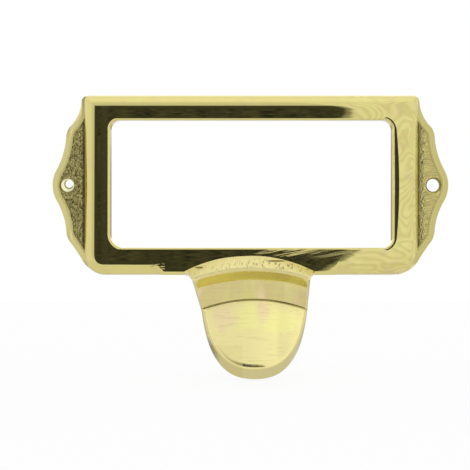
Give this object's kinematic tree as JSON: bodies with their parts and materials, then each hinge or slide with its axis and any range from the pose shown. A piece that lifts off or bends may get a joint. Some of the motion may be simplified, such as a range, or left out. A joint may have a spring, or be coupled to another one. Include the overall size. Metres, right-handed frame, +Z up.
{
  "type": "card-frame drawer pull",
  "caption": "Brass drawer pull with a card window, a scalloped screw ear at each side and a finger tongue below.",
  "frame": {"origin": "midway between the two screw holes, on the back face that lies on the drawer front", "axes": "+X to the right as seen from the front, +Z up, -Y out of the drawer front towards the user"},
  "size_m": [0.0826, 0.0108, 0.0588],
  "materials": {
    "polished_brass": "polished and lacquered on the front, left rough on the ground of the ears"
  },
  "bodies": {
    "root": {"card_frame_pull": "polished_brass"}
  },
  "joints": []
}
